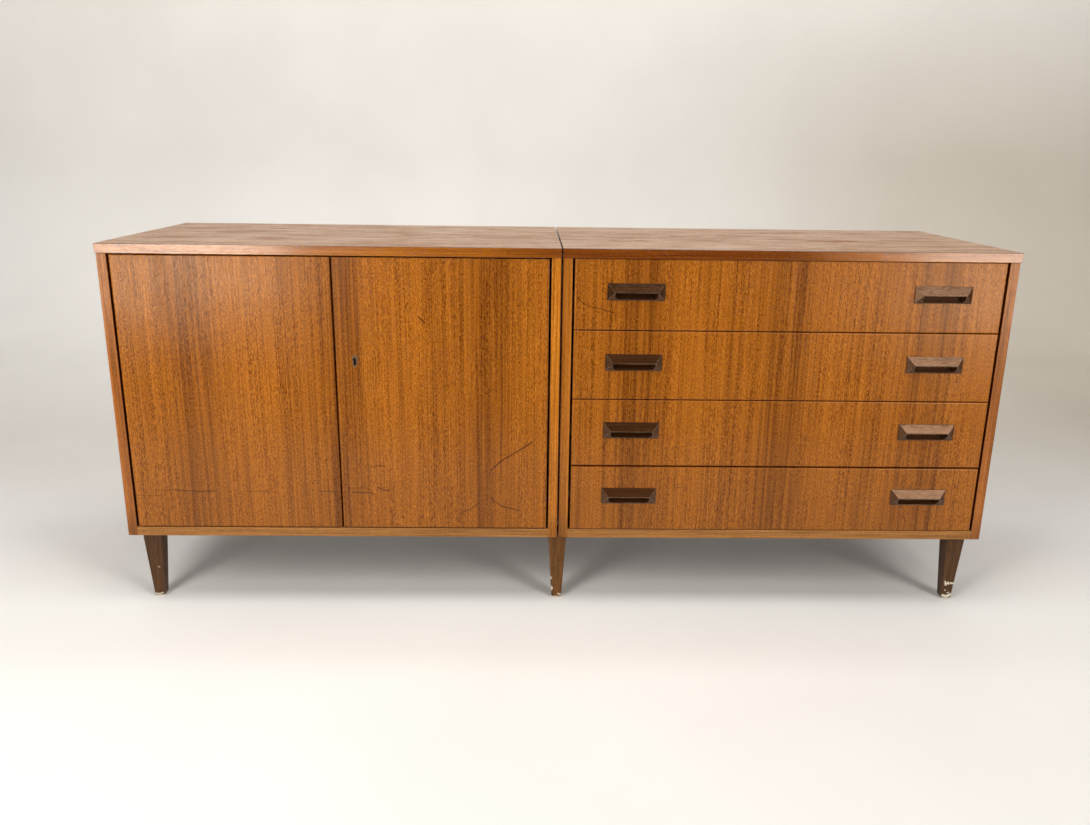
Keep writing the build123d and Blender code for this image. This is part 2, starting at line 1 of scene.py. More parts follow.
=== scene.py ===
import math
import bpy
import numpy as np
from mathutils import Matrix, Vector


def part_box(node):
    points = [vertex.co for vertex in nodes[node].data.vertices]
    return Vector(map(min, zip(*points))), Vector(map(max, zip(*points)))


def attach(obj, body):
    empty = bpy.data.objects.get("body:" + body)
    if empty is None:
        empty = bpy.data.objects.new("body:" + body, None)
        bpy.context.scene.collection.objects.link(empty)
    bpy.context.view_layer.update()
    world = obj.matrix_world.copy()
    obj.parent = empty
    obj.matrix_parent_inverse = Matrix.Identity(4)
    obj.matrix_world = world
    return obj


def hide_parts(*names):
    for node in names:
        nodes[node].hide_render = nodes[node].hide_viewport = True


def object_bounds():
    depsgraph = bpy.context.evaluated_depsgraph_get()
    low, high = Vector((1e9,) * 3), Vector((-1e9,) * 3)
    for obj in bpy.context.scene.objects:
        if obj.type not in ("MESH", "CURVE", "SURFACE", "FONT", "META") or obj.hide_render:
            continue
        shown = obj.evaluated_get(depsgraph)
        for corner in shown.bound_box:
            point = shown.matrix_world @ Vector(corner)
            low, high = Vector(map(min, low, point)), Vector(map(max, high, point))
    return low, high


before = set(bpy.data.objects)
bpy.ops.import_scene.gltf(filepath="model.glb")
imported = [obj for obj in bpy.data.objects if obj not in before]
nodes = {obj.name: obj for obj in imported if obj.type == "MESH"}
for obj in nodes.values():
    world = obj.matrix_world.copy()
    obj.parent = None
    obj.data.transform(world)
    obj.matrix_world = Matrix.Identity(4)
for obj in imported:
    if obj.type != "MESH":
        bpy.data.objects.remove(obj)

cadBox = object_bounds()
print("frame loaded,", len(nodes), "nodes")


# Short ways to build shader trees: a socket is linked, any other value is written on the input
def addNode(tree, kind, inputs=None, **settings):
    made = tree.nodes.new(kind)
    for key, value in settings.items():
        setattr(made, key, value)
    for key, value in (inputs or {}).items():
        if isinstance(value, bpy.types.NodeSocket):
            tree.links.new(value, made.inputs[key])
        else:
            made.inputs[key].default_value = value
    return made


def doMath(tree, operation, a, b=0.0, c=0.0, clamp=False):
    made = addNode(tree, "ShaderNodeMath", {0: a, 1: b, 2: c}, operation=operation, use_clamp=clamp)
    return made.outputs[0]


def doVector(tree, operation, a, b=(0.0, 0.0, 0.0)):
    made = addNode(tree, "ShaderNodeVectorMath", {0: a, 1: b}, operation=operation)
    return made.outputs["Value" if operation in ("DOT_PRODUCT", "DISTANCE") else 0]


def scaled(tree, vector, factor):
    return addNode(tree, "ShaderNodeVectorMath", {0: vector, "Scale": factor}, operation="SCALE").outputs[0]


def parts(tree, vector):
    return addNode(tree, "ShaderNodeSeparateXYZ", {0: vector}).outputs


def mixColor(tree, factor, a, b, blend="MIX"):
    made = addNode(tree, "ShaderNodeMix", {"Factor": factor, 6: a, 7: b}, data_type="RGBA", blend_type=blend)
    return made.outputs[2]


def times(tree, a, b):
    return doMath(tree, "MULTIPLY", a, b)


def spread(tree, value, low, high, newLow=0.0, newHigh=1.0):
    made = addNode(tree, "ShaderNodeMapRange", {0: value, 1: low, 2: high, 3: newLow, 4: newHigh},
                   interpolation_type="SMOOTHSTEP")
    return made.outputs[0]


def fade(tree, value, low, high):
    return spread(tree, value, low, high, 1.0, 0.0)


def noise(tree, vector, scale, detail=2.0, rough=0.5):
    made = addNode(tree, "ShaderNodeTexNoise",
                   {"Vector": vector, "Scale": scale, "Detail": detail, "Roughness": rough})
    return made.outputs[0]


def stretch(tree, vector, factors):
    return doVector(tree, "MULTIPLY", vector, factors)


def addBump(tree, shader, strength, distance, height):
    bump = addNode(tree, "ShaderNodeBump", {"Strength": strength, "Distance": distance, "Height": height})
    tree.links.new(bump.outputs[0], shader.inputs["Normal"])


def newGroup(name, takes, gives):
    group = bpy.data.node_groups.new(name, "ShaderNodeTree")
    for way, sockets in (("INPUT", takes), ("OUTPUT", gives)):
        for label, kind in sockets:
            group.interface.new_socket(label, in_out=way, socket_type=kind)
    return group, group.nodes.new("NodeGroupInput"), group.nodes.new("NodeGroupOutput")


def useGroup(tree, group, inputs):
    return addNode(tree, "ShaderNodeGroup", inputs, node_tree=group).outputs


floatSocket = "NodeSocketFloat"
vectorSocket = "NodeSocketVector"


def rgb(r, g, b):
    return (r, g, b, 1.0)


# Wood figure with the grain along Z: dense short dashes, fine long lines, broad streaks, sparse dark pores.
# A mark's scale is a group input times a factor, "along" is what is left of it along the grain
woodFigure = {
    "sway": {"stretch": (5.0, 5.0, 1.6), "reach": 0.006},
    "crowd": {"stretch": (60.0, 60.0, 3.0), "share": 0.22},
    "marks": {
        "Dash": {"scale": ("Dashes per m", 1.0), "along": 0.16, "noise": (1.0, 0.5), "limits": (0.4, 0.6)},
        "Line": {"scale": ("Lines per m", 1.0), "along": 0.011, "noise": (2.0, 0.7), "limits": (0.37, 0.63)},
        "Streak": {"scale": ("Lines per m", 0.25), "along": 0.012, "noise": (3.0, 0.6),
                   "limits": (0.3, 0.7)},
        "Pores": {"scale": ("Dashes per m", 1.3), "along": 0.05, "noise": (1.0, 0.4), "limits": (0.68, 0.8)},
    },
}


def makeGrainGroup():
    sway, crowd, marks = woodFigure["sway"], woodFigure["crowd"], woodFigure["marks"]
    tree, given, result = newGroup(
        "woodFigure",
        [("Vector", vectorSocket), ("Dashes per m", floatSocket), ("Lines per m", floatSocket)],
        [(kind, floatSocket) for kind in marks])
    start = given.outputs["Vector"]
    slow = noise(tree, stretch(tree, start, sway["stretch"]), 1.0)
    bend = times(tree, doMath(tree, "SUBTRACT", slow, 0.5), sway["reach"])
    shift = addNode(tree, "ShaderNodeCombineXYZ", {"X": bend, "Y": bend})
    bent = doVector(tree, "ADD", start, shift.outputs[0])
    for kind, mark in marks.items():
        label, factor = mark["scale"]
        scale = times(tree, given.outputs[label], factor)
        value = noise(tree, stretch(tree, bent, (1.0, 1.0, mark["along"])), scale, *mark["noise"])
        if kind == "Pores":
            crowded = noise(tree, stretch(tree, bent, crowd["stretch"]), 1.0)
            value = doMath(tree, "MULTIPLY_ADD", crowded, crowd["share"], value)
        tree.links.new(spread(tree, value, *mark["limits"]), result.inputs[kind])
    return tree


# Leaves of veneer laid side by side along X: each repeats the one before, its dark stripes by one edge
leaves = {
    "width": 0.2955, "edge": 0.215, "drift": 0.002, "wander": 0.025, "sway": (14.0, 6.0, 1.5),
    "tones": ((0.0, 0.94), (0.03, 1.0), (0.39, 1.0), (0.41, 0.86), (0.5, 0.94), (0.6, 0.86), (0.66, 0.82),
              (0.7, 0.66), (0.77, 0.78), (0.85, 0.62), (0.93, 0.7), (0.95, 0.92), (1.0, 0.96)),
}


def makeLeafGroup():
    tree, given, result = newGroup(
        "veneerLeaves", [("Vector", vectorSocket)], [("Vector", vectorSocket), ("Tone", floatSocket)])
    start = given.outputs["Vector"]
    spot = parts(tree, start)
    turns = doMath(tree, "DIVIDE", doMath(tree, "SUBTRACT", spot["X"], leaves["edge"]), leaves["width"])
    index = doMath(tree, "FLOOR", turns)
    across = doMath(tree, "SUBTRACT", turns, index)
    folded = addNode(tree, "ShaderNodeCombineXYZ", {
        "X": times(tree, across, leaves["width"]),
        "Y": doMath(tree, "MULTIPLY_ADD", index, leaves["drift"], spot["Y"]), "Z": spot["Z"]}).outputs[0]
    tree.links.new(folded, result.inputs["Vector"])
    sway = noise(tree, stretch(tree, folded, leaves["sway"]), 1.0, 3.0)
    wander = times(tree, doMath(tree, "SUBTRACT", sway, 0.5), leaves["wander"])
    ramp = addNode(tree, "ShaderNodeValToRGB", {0: doMath(tree, "ADD", across, wander)})
    stops = ramp.color_ramp.elements
    while len(stops) < len(leaves["tones"]):
        stops.new(0.5)
    for stop, (spotAcross, tone) in zip(stops, leaves["tones"]):
        stop.position = spotAcross
        stop.color = rgb(tone, tone, tone)
    tree.links.new(ramp.outputs[0], result.inputs["Tone"])
    return tree


# An edge mask: where the surface turns within the given radius, broken up by noise. It marks rubbed wear,
# and on the teak fronts and the pulls also a painted highlight
edgeFinding = {"samples": 6, "patches": (70.0, 4.0, 0.65), "patchLimits": (0.3, 0.6), "turnLimits": (0.1, 1.0)}


def makeEdgeMaskGroup():
    tree, given, result = newGroup(
        "edgeMask",
        [("Vector", vectorSocket), ("Radius", floatSocket), ("Turn", floatSocket), ("Amount", floatSocket)],
        [("Mask", floatSocket)])
    eased = addNode(tree, "ShaderNodeBevel", {"Radius": given.outputs["Radius"]}, samples=edgeFinding["samples"])
    true = addNode(tree, "ShaderNodeNewGeometry")
    alike = doVector(tree, "DOT_PRODUCT", eased.outputs[0], true.outputs["Normal"])
    turn = doMath(tree, "DIVIDE", doMath(tree, "SUBTRACT", 1.0, alike), given.outputs["Turn"])
    rough = noise(tree, given.outputs["Vector"], *edgeFinding["patches"])
    patch = spread(tree, rough, *edgeFinding["patchLimits"])
    mask = times(tree, spread(tree, turn, *edgeFinding["turnLimits"]), patch)
    mask = doMath(tree, "MULTIPLY", mask, given.outputs["Amount"], clamp=True)
    tree.links.new(mask, result.inputs["Mask"])
    return tree


# A scratch or a stain: 1 near the straight line between two ends, 0 from the given width on
markFade = (0.2, 1.0)


def makeScratchGroup():
    tree, given, result = newGroup(
        "scratch",
        [("Vector", vectorSocket), ("From", vectorSocket), ("To", vectorSocket), ("Width", floatSocket)],
        [("Mask", floatSocket)])
    run = doVector(tree, "SUBTRACT", given.outputs["To"], given.outputs["From"])
    away = doVector(tree, "SUBTRACT", given.outputs["Vector"], given.outputs["From"])
    along = doMath(tree, "DIVIDE", doVector(tree, "DOT_PRODUCT", away, run),
                   doVector(tree, "DOT_PRODUCT", run, run), clamp=True)
    gap = doVector(tree, "DISTANCE", away, scaled(tree, run, along))
    widths = doMath(tree, "DIVIDE", gap, given.outputs["Width"])
    tree.links.new(fade(tree, widths, *markFade), result.inputs["Mask"])
    return tree


grainGroup = makeGrainGroup()
leafGroup = makeLeafGroup()
edgeMaskGroup = makeEdgeMaskGroup()
scratchGroup = makeScratchGroup()
print("shader groups ready")


def newMaterial(name):
    material = bpy.data.materials.new(name)
    material.use_nodes = True
    tree = material.node_tree
    tree.nodes.clear()
    shader = tree.nodes.new("ShaderNodeBsdfPrincipled")
    output = tree.nodes.new("ShaderNodeOutputMaterial")
    tree.links.new(shader.outputs[0], output.inputs["Surface"])
    seat = addNode(tree, "ShaderNodeTexCoord").outputs
    return material, tree, shader, seat


# Turns a point so that the grain, which runs along the named axis, comes to lie along Z
quarter = math.pi / 2
grainTurns = {"X": (0.0, -quarter, 0.0), "Y": (quarter, 0.0, 0.0), "Z": (0.0, 0.0, 0.0)}


def alongGrain(tree, spot, axis):
    return addNode(tree, "ShaderNodeMapping", {"Vector": spot, "Rotation": grainTurns[axis]}).outputs[0]


# How far marks cover a point: lines through points (x, z) of an upright face or (x, y) of a level one, in
# metres. A point is shaken a little first, so that no line is quite straight
shakeScale = 30.0


def markMask(tree, spot, marks, shaken, upright=True):
    jitter = addNode(tree, "ShaderNodeTexNoise", {"Vector": spot, "Scale": shakeScale})
    shake = scaled(tree, doVector(tree, "SUBTRACT", jitter.outputs["Color"], (0.5, 0.5, 0.5)), shaken)
    plane = (1.0, 0.0, 1.0) if upright else (1.0, 1.0, 0.0)
    point = stretch(tree, doVector(tree, "ADD", spot, shake), plane)
    whole = 0.0
    for line in marks:
        ends = [(x, 0.0, up) if upright else (x, up, 0.0) for x, up in line["points"]]
        for near, far in zip(ends, ends[1:]):
            mark = useGroup(tree, scratchGroup,
                            {"Vector": point, "From": near, "To": far, "Width": line["width"]})["Mask"]
            whole = doMath(tree, "MAXIMUM", whole, times(tree, mark, line["depth"]))
    return whole


# Faces turned along an axis, from the object's own normal: 1 where they face the given way
facingLimits = (0.5, 0.85)


def facing(tree, normal, axis, way):
    return spread(tree, times(tree, parts(tree, normal)[axis], way), *facingLimits)


# Painted shade on narrow faces beside a gap at the front, darker there
sidewaysLimits = (0.3, 0.65)


def gapShade(tree, spot, normal, gap):
    turned = parts(tree, normal)
    here = parts(tree, spot)
    sideways = fade(tree, doMath(tree, "ABSOLUTE", turned["Y"]), *sidewaysLimits)
    mask = times(tree, sideways, fade(tree, here["Y"], gap["from"], gap["to"]))
    if "away" in gap:
        outward = times(tree, turned[gap["away"]], here[gap["away"]])
        mask = times(tree, mask, fade(tree, outward, *gap["limits"]))
    return mask


# What all woods share
woodWork = {
    "stripeGain": (1.55, 0.5), "smudges": (7.0, 4.0, 0.6), "smudgeLimits": (0.3, 0.7),
    "wornNoise": (1.0, 7.0, 0.78), "wornLimits": (0.34, 0.66), "wornShare": 0.4, "figureLeft": 0.6,
    "stainShake": 0.05, "scratchShake": 0.006, "scratchDepth": 0.003, "arrisLimits": (0.4, 0.9),
    "poreDull": 0.15, "dashHeight": 0.4, "bumpDistance": 0.0004,
}


# The wood's colour: its figure and the stripes of its leaves, then painted shade towards the middle of the
# tops and towards the foot, and a lighter, yellower tone on the middle leg
def figuredTone(tree, look, spot, figure, leaf, share):
    tone = mixColor(tree, share, look["dark"], look["pale"])
    tone = mixColor(tree, times(tree, figure["Streak"], look["flushShare"]), tone, look["flush"])
    if leaf:
        depth = doMath(tree, "SUBTRACT", 1.0, leaf["Tone"])
        gain = spread(tree, figure["Streak"], 0.0, 1.0, *woodWork["stripeGain"])
        tone = mixColor(tree, doMath(tree, "MULTIPLY", depth, gain, clamp=True), tone, look["stripe"])
    here = parts(tree, spot)
    # Painted shade towards the middle of the tops; on the legs a lighter tone on the middle leg
    if "middle" in look:
        shade = look["middle"]
        mask = fade(tree, doMath(tree, "ABSOLUTE", here["X"]), shade["from"], shade["to"])
        tone = mixColor(tree, mask, tone, shade["colour"], "MULTIPLY")
    # Painted shade, darker towards the foot
    if "footShade" in look:
        shade = look["footShade"]
        mask = fade(tree, here["Z"], shade["from"], shade["to"])
        tone = mixColor(tree, mask, tone, shade["colour"], "MULTIPLY")
    return tone


# Faces turned one way have their own colours and gloss, and may be worn along the grain and stained
def turnedFace(tree, face, seat, vector, share, tone, gloss):
    mask = facing(tree, seat["Normal"], face["axis"], face["way"])
    if "worn" in face:
        drawn = noise(tree, stretch(tree, vector, face["worn"]), *woodWork["wornNoise"])
        worn = spread(tree, drawn, *woodWork["wornLimits"], 0.0, woodWork["wornShare"])
        share = doMath(tree, "MULTIPLY_ADD", share, woodWork["figureLeft"], worn)
    colour = mixColor(tree, share, face["dark"], face["pale"])
    if "stains" in face:
        stained = markMask(tree, seat["Object"], face["stains"], woodWork["stainShake"], upright=False)
        colour = mixColor(tree, stained, colour, face["stainColour"])
        bare = doMath(tree, "MAXIMUM", fade(tree, share, *face["sheen"]), stained)
        gloss = doMath(tree, "MULTIPLY_ADD", times(tree, mask, bare), face["matt"], gloss)
    dull = times(tree, mask, spread(tree, share, 0.0, 1.0, *face["rough"]))
    return mixColor(tree, mask, tone, colour), doMath(tree, "ADD", gloss, dull)


# Pores filled with dirt, scratches, edges with rubbed wear and on the fronts and pulls a painted highlight,
# painted shade in the gaps and the seam, and arrises facing front and up in their own colour
def agedTone(tree, look, seat, figure, tone):
    spot, normal = seat["Object"], seat["Normal"]
    here, turned = parts(tree, spot), parts(tree, normal)
    pores = times(tree, figure["Pores"], look["poreDepth"])
    tone = mixColor(tree, pores, tone, look["poreAndSeamShadeColour"])
    if "scratches" in look:
        reach = look["scratchReach"]
        front = fade(tree, here["Y"], reach, reach + woodWork["scratchDepth"])
        front = times(tree, front, facing(tree, normal, "Y", -1.0))
        scratched = markMask(tree, spot, look["scratches"], woodWork["scratchShake"])
        tone = mixColor(tree, times(tree, scratched, front), tone, look["scratchColour"])
    # Edge band: rubbed wear, and on the fronts and pulls also a painted highlight
    edgeBand = useGroup(tree, edgeMaskGroup, {"Vector": spot, "Radius": look["wearAndHighlightRadius"],
                                        "Turn": look["wearAndHighlightTurn"], "Amount": look["wearAndHighlight"]})["Mask"]
    if "wearAndHighlightReach" in look:
        edgeBand = times(tree, edgeBand, fade(tree, here["Y"], *look["wearAndHighlightReach"]))
    tone = mixColor(tree, edgeBand, tone, look["wearAndHighlightColour"])
    # Painted shade in the gaps at the front
    if "gap" in look:
        gapShadeMask = gapShade(tree, spot, normal, look["gap"])
        tone = mixColor(tree, gapShadeMask, tone, look["gap"]["colour"], "MULTIPLY")
    if "arris" in look:
        slope = times(tree, times(tree, turned["Y"], -2.0), turned["Z"])
        tone = mixColor(tree, spread(tree, slope, *woodWork["arrisLimits"]), tone, look["arris"])
    # Painted shade in the seam between the two cabinets
    if "seam" in look:
        apart = doMath(tree, "ABSOLUTE", here["X"])
        tone = mixColor(tree, fade(tree, apart, look["seam"], 2.0 * look["seam"]), tone, look["poreAndSeamShadeColour"])
    return tone


def makeWood(name, look):
    material, tree, shader, seat = newMaterial(name)
    vector = alongGrain(tree, seat["Object"], look["grain"])
    leaf = useGroup(tree, leafGroup, {"Vector": vector}) if look["leaf"] else None
    figure = useGroup(tree, grainGroup, {"Vector": leaf["Vector"] if leaf else vector,
                                         "Dashes per m": look["dashes"], "Lines per m": look["lines"]})
    share = 0.0
    for kind, weight in look["weights"].items():
        share = doMath(tree, "MULTIPLY_ADD", figure[kind], weight, share)
    tone = figuredTone(tree, look, seat["Object"], figure, leaf, share)
    smudge = noise(tree, seat["Object"], *woodWork["smudges"])
    gloss = spread(tree, smudge, *woodWork["smudgeLimits"], *look["rough"])
    if "turned" in look:
        tone, gloss = turnedFace(tree, look["turned"], seat, vector, share, tone, gloss)
    tree.links.new(agedTone(tree, look, seat, figure, tone), shader.inputs["Base Color"])
    gloss = doMath(tree, "MULTIPLY_ADD", figure["Pores"], woodWork["poreDull"], gloss)
    tree.links.new(gloss, shader.inputs["Roughness"])
    shader.inputs["Specular IOR Level"].default_value = look["shine"]
    shader.inputs["Specular Tint"].default_value = look["gleam"]
    height = doMath(tree, "SUBTRACT", times(tree, figure["Dash"], woodWork["dashHeight"]), figure["Pores"])
    addBump(tree, shader, look["bump"], woodWork["bumpDistance"], height)
    return material


# Copies a look without some of its keys
def without(look, *keys):
    return {key: value for key, value in look.items() if key not in keys}


pullReach = 0.012  # how far the pulls stand out from the fronts
frontFace = cadBox[0][1] + pullReach
frontTeak = {
    "grain": "Z", "leaf": True, "dashes": 1250.0, "lines": 360.0,
    "weights": {"Dash": 0.58, "Line": 0.22, "Streak": 0.2},
    "dark": rgb(0.095, 0.016, 0.0004), "pale": rgb(0.59, 0.205, 0.021), "flush": rgb(0.345, 0.094, 0.004),
    "flushShare": 0.25, "poreAndSeamShadeColour": rgb(0.1, 0.018, 0.001), "poreDepth": 0.55,
    # Paler edges: rubbed wear together with a painted highlight
    "wearAndHighlight": 0.5, "wearAndHighlightRadius": 0.002, "wearAndHighlightTurn": 0.16, "wearAndHighlightColour": rgb(0.55, 0.26, 0.09),
    "stripe": rgb(0.055, 0.009, 0.0006),
    "gap": {"from": 1.0, "to": 2.0, "colour": rgb(0.85, 0.68, 0.52)},  # painted shade on all edges, right through
    "shine": 0.35, "gleam": rgb(1.0, 0.85, 0.68), "rough": (0.16, 0.23), "bump": 0.14,
    "scratchColour": rgb(0.04, 0.008, 0.002), "scratchReach": frontFace + 0.002,
}
# Painted shade, darker towards the foot of the doors and drawers
footShade = {"from": 0.16, "to": 0.52, "colour": rgb(0.84, 0.83, 0.84)}
doorTeak = {**frontTeak, "footShade": footShade, "scratches": (
    {"points": ((-0.835, 0.2555), (-0.78, 0.2545)), "width": 0.0019, "depth": 0.49},
    {"points": ((-0.79, 0.2545), (-0.712, 0.254)), "width": 0.0023, "depth": 0.64},
    {"points": ((-0.65, 0.2545), (-0.6, 0.2535)), "width": 0.0019, "depth": 0.43},
    {"points": ((-0.495, 0.2545), (-0.454, 0.254)), "width": 0.0019, "depth": 0.59},
    {"points": ((-0.875, 0.243), (-0.815, 0.243)), "width": 0.0018, "depth": 0.38},
    {"points": ((-0.828, 0.207), (-0.81, 0.182)), "width": 0.0016, "depth": 0.43},
    {"points": ((-0.386, 0.31), (-0.357, 0.311)), "width": 0.0018, "depth": 0.59},
    {"points": ((-0.435, 0.262), (-0.4, 0.2625)), "width": 0.0018, "depth": 0.49},
    {"points": ((-0.428, 0.254), (-0.385, 0.251)), "width": 0.002, "depth": 0.75},
    {"points": ((-0.377, 0.265), (-0.366, 0.2595), (-0.35, 0.257)), "width": 0.0019, "depth": 0.8},
    {"points": ((-0.14, 0.302), (-0.112, 0.329), (-0.055, 0.365)), "width": 0.0019, "depth": 0.88},
    {"points": ((-0.205, 0.207), (-0.183, 0.217), (-0.165, 0.232)), "width": 0.0018, "depth": 0.7},
    {"points": ((-0.14, 0.242), (-0.117, 0.223), (-0.082, 0.215)), "width": 0.0019, "depth": 0.85},
    {"points": ((-0.304, 0.65), (-0.307, 0.642)), "width": 0.002, "depth": 0.85},
    {"points": ((-0.283, 0.622), (-0.27, 0.612)), "width": 0.0021, "depth": 0.9},
    {"points": ((-0.09, 0.645), (-0.082, 0.647)), "width": 0.0018, "depth": 0.54},
)}
drawerTeak = {**frontTeak, "footShade": footShade, "scratches": (
    {"points": ((0.03, 0.665), (0.042, 0.654), (0.06, 0.645), (0.085, 0.641), (0.105, 0.635)),
     "width": 0.0018, "depth": 0.66},
    {"points": ((0.07, 0.6365), (0.076, 0.634)), "width": 0.0018, "depth": 0.49},
    {"points": ((0.245, 0.267), (0.261, 0.2675)), "width": 0.0016, "depth": 0.49},
    {"points": ((0.384, 0.2025), (0.389, 0.2)), "width": 0.0024, "depth": 0.54},
)}
gapReach = {"from": frontFace + 0.004, "to": frontFace + 0.03}
innerSideTeak = {
    **frontTeak, "leaf": False, "dark": rgb(0.19, 0.045, 0.002), "pale": rgb(0.82, 0.3, 0.03),
    "weights": {"Dash": 0.3, "Line": 0.35, "Streak": 0.35}, "wearAndHighlightRadius": 0.0015,
    # Painted shade on the inner faces beside the gaps at the front
    "gap": {**gapReach, "away": "X", "limits": (0.05, 0.2), "colour": rgb(0.16, 0.1, 0.08)},
    # Painted shade in the seam, and painted shade towards the foot of the sides
    "seam": 0.0017, "footShade": {"from": 0.155, "to": 0.235, "colour": rgb(0.6, 0.6, 0.66)},
}
rightInnerTeak = {**innerSideTeak, "dark": rgb(0.137, 0.033, 0.0018), "pale": rgb(0.59, 0.215, 0.028)}
outerSideTeak = {
    **innerSideTeak, "dark": rgb(0.168, 0.049, 0.008), "pale": rgb(0.52, 0.175, 0.034),
    "flush": rgb(0.34, 0.093, 0.014),
}
levelTeak = {
    **frontTeak, "leaf": False, "grain": "X", "lines": 600.0,
    "weights": {"Dash": 0.25, "Line": 0.45, "Streak": 0.3},
}
bottomTeak = {
    **levelTeak, "dark": rgb(0.15, 0.052, 0.008), "pale": rgb(0.46, 0.22, 0.062), "wearAndHighlightRadius": 0.0015,
    # Painted shade on the bottoms' top faces behind the front, in the gap under the doors and drawers
    "gap": {**gapReach, "away": "Z", "limits": (0.0, 0.01), "colour": rgb(0.5, 0.4, 0.35)},
    # Painted shade: the underside, which faces the floor, is dark grey
    "turned": {"axis": "Z", "way": -1.0, "dark": rgb(0.12, 0.09, 0.065), "pale": rgb(0.2, 0.16, 0.12),
               "rough": (0.3, 0.3)},
}
leftStains = ({"points": ((-0.34, -0.005), (-0.305, 0.0)), "width": 0.022, "depth": 0.5},
              {"points": ((-0.62, -0.12), (-0.57, -0.115)), "width": 0.02, "depth": 0.35})
rightStains = ({"points": ((0.55, -0.04), (0.635, -0.04)), "width": 0.026, "depth": 0.6},
               {"points": ((0.115, -0.085), (0.17, -0.08)), "width": 0.024, "depth": 0.6},
               {"points": ((0.255, 0.035), (0.31, 0.04)), "width": 0.022, "depth": 0.5},
               {"points": ((0.705, -0.01), (0.76, -0.012)), "width": 0.02, "depth": 0.4})
topTeak = {
    **levelTeak, "dark": rgb(0.17, 0.04, 0.0015), "pale": rgb(0.52, 0.18, 0.012), "shine": 0.92,
    "gleam": rgb(1.0, 0.93, 0.86), "rough": (0.1, 0.15),
    # Painted shade towards the middle
    "middle": {"from": 0.02, "to": 0.2, "colour": rgb(0.6, 0.5, 0.4)},
    "turned": {"axis": "Z", "way": 1.0, "worn": (26.0, 26.0, 8.0), "sheen": (0.15, 0.55), "matt": 0.5,
               "dark": rgb(0.2, 0.075, 0.03), "pale": rgb(0.54, 0.34, 0.2), "rough": (0.32, 0.2),
               "stainColour": rgb(0.22, 0.055, 0.018), "stains": leftStains},
    # Painted shade under the top's front edge, over the gap
    "gap": {**gapReach, "away": "Z", "limits": (0.0, 0.01), "colour": rgb(0.2, 0.14, 0.12)},
    # Darker edges on the tops, and painted shade in the seam
    "wearAndHighlight": 0.8, "wearAndHighlightRadius": 0.0013, "wearAndHighlightColour": rgb(0.14, 0.05, 0.018), "seam": 0.0012,
    "arris": rgb(0.05, 0.016, 0.006),
    "scratches": ({"points": ((-0.8555, 0.7545), (-0.848, 0.7605)), "width": 0.0022, "depth": 0.95},),
}
# Painted shade over most of the right top, fading towards its outer end
rightTopTeak = {**topTeak, "middle": {"from": 0.4, "to": 0.68, "colour": rgb(0.48, 0.36, 0.3)},
                "turned": {**topTeak["turned"], "stains": rightStains}}
innerTeak = {
    **without(bottomTeak, "turned", "gap"), "dark": rgb(0.28, 0.085, 0.01), "pale": rgb(0.6, 0.23, 0.045),
}
legWood = {
    **without(frontTeak, "gap"), "leaf": False, "dark": rgb(0.03, 0.011, 0.004),
    "pale": rgb(0.105, 0.044, 0.016), "middle": {"from": 0.1, "to": 0.3, "colour": rgb(1.8, 1.75, 1.25)},
    "weights": {"Dash": 0.3, "Line": 0.4, "Streak": 0.3}, "flush": rgb(0.1, 0.04, 0.014),
    "poreAndSeamShadeColour": rgb(0.02, 0.008, 0.004), "shine": 0.3, "rough": (0.3, 0.44),
    "wearAndHighlight": 0.7, "wearAndHighlightRadius": 0.0016, "wearAndHighlightColour": rgb(0.24, 0.13, 0.06),
    "scratchColour": rgb(0.78, 0.7, 0.56), "scratchReach": frontFace + 0.15,
    "scratches": (
        {"points": ((-0.872, 0.0065), (-0.86, 0.006), (-0.853, 0.0085)), "width": 0.0022, "depth": 0.75},
        {"points": ((-0.856, 0.07), (-0.853, 0.071)), "width": 0.0012, "depth": 0.6},
        {"points": ((-0.0125, 0.05), (-0.0105, 0.046)), "width": 0.003, "depth": 0.95},
        {"points": ((-0.012, 0.026), (-0.0095, 0.023), (-0.011, 0.0185)), "width": 0.0042, "depth": 0.95},
        {"points": ((0.004, 0.0095), (0.0105, 0.007)), "width": 0.0024, "depth": 0.7},
        {"points": ((0.8535, 0.042), (0.8555, 0.034), (0.86, 0.0405), (0.8625, 0.0365)), "width": 0.0026,
         "depth": 0.95},
        {"points": ((0.866, 0.0395), (0.871, 0.0375), (0.8735, 0.0395)), "width": 0.0028, "depth": 0.95},
        {"points": ((0.856, 0.0225), (0.857, 0.0205)), "width": 0.0016, "depth": 0.85},
        {"points": ((0.862, 0.0145), (0.8665, 0.0155)), "width": 0.0014, "depth": 0.8},
        {"points": ((0.852, 0.0085), (0.861, 0.0065), (0.87, 0.0105)), "width": 0.0044, "depth": 0.95},
    ),
}
pullWood = {
    **without(legWood, "scratches", "middle"), "grain": "X",
    "weights": {"Dash": 0.2, "Line": 0.5, "Streak": 0.3},
    "dark": rgb(0.016, 0.006, 0.0018), "pale": rgb(0.066, 0.024, 0.007), "flush": rgb(0.04, 0.0145, 0.0048),
    # Pale edges at the front of the pulls: rubbed wear together with a painted highlight
    "wearAndHighlight": 0.55, "wearAndHighlightRadius": 0.0008, "wearAndHighlightTurn": 0.025, "wearAndHighlightColour": rgb(0.5, 0.36, 0.22),
    "wearAndHighlightReach": (frontFace - 0.0035, frontFace - 0.0015),
    "shine": 0.72, "gleam": rgb(1.0, 0.57, 0.34), "rough": (0.08, 0.14),
}
